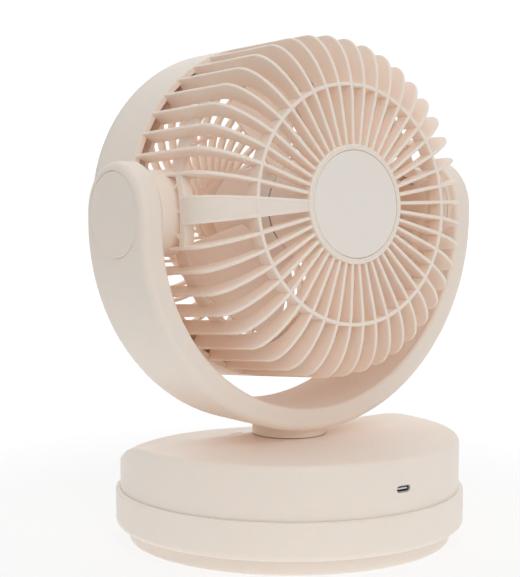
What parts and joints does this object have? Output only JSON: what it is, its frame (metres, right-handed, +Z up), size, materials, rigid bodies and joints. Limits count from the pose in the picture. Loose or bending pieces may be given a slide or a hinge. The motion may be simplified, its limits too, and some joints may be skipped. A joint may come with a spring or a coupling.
{
  "type": "usb desk fan",
  "caption": "Small desk fan: drum head with finned rear cage tilting in a U-shaped yoke that swivels on a round base with a USB-C charging inlet.",
  "frame": {"origin": "on the swivel axis, where the anti-slip pad meets the table", "axes": "+Z up along the swivel axis, -Y the way the air leaves (front), +X towards the arm with the wire duct"},
  "size_m": [0.227, 0.192, 0.2736],
  "materials": {
    "shell_plastic": "fine satin-matte moulding",
    "hub_plate_plastic": "plain matte",
    "steel": "bright",
    "pad_rubber": "matte",
    "battery_can": "wrapped can",
    "circuit_board": "solder mask",
    "black_plastic": "matte",
    "copper_wire": "enamelled",
    "ferrite": "matte",
    "turned_brass": "turned",
    "bearing_plastic": "low-friction moulding",
    "light_pipe": "clear, frosted"
  },
  "bodies": {
    "base": {"base_plate": "shell_plastic", "anti_slip_pad": "pad_rubber", "lower_shell": "shell_plastic", "upper_shell": "shell_plastic", "base_screws": "steel", "battery_cradle": "black_plastic", "battery_cell_front": "battery_can", "battery_cell_rear": "battery_can", "main_board": "circuit_board", "usb_c_shell": "steel", "usb_c_tongue": "bearing_plastic", "control_board": "circuit_board", "tact_switches": "black_plastic", "indicator_light_pipes": "light_pipe", "swivel_bush": "bearing_plastic"},
    "power_button": {"power_button": "shell_plastic"},
    "speed_button": {"speed_button": "shell_plastic"},
    "yoke": {"yoke_outer": "shell_plastic", "yoke_inner_cover": "shell_plastic", "yoke_cover_screws": "steel", "pivot_cap_left": "shell_plastic", "pivot_cap_right": "shell_plastic", "pivot_bush_left": "bearing_plastic", "pivot_bush_right": "bearing_plastic", "swivel_post": "shell_plastic", "swivel_retaining_ring": "steel", "swivel_ring_screws": "steel", "post_screws": "steel"},
    "head": {"rear_housing": "shell_plastic", "hub_plate": "hub_plate_plastic", "front_ring": "shell_plastic", "front_grille": "shell_plastic", "front_centre_cap": "shell_plastic", "motor_housing": "shell_plastic", "bearing_tube": "turned_brass", "motor_bearings": "steel", "motor_stator": "steel", "stator_windings": "copper_wire", "driver_board": "circuit_board", "motor_screws": "steel", "tilt_pin_left": "shell_plastic", "tilt_pin_right": "shell_plastic", "tilt_pin_screws": "steel", "tilt_friction_washers": "pad_rubber", "tilt_retainers": "steel", "tilt_retainer_screws": "steel"},
    "rotor": {"impeller": "shell_plastic", "rotor_cup": "steel", "magnet_ring": "ferrite", "rotor_shaft": "steel"}
  },
  "joints": [
    {"name": "swivel", "type": "hinge", "parent": "base", "child": "yoke", "pos_m": [0, 0, 0.05], "axis": [0, 0, 1], "range_deg": [-60, 60]},
    {"name": "tilt", "type": "hinge", "parent": "yoke", "child": "head", "pos_m": [0, 0, 0.1804], "axis": [-1, 0, 0], "range_deg": [-12, 90]},
    {"name": "fan_spin", "type": "hinge", "parent": "head", "child": "rotor", "pos_m": [0, 0, 0.1804], "axis": [0, 0.9966, 0.0819], "continuous": true},
    {"name": "power_press", "type": "slide", "parent": "base", "child": "power_button", "axis": [0, 0.4081, -0.9129], "range_m": [0, 0.0008], "stiffness_N_per_m": 900},
    {"name": "speed_press", "type": "slide", "parent": "base", "child": "speed_button", "axis": [0, 0.4081, -0.9129], "range_m": [0, 0.0008], "stiffness_N_per_m": 900}
  ]
}
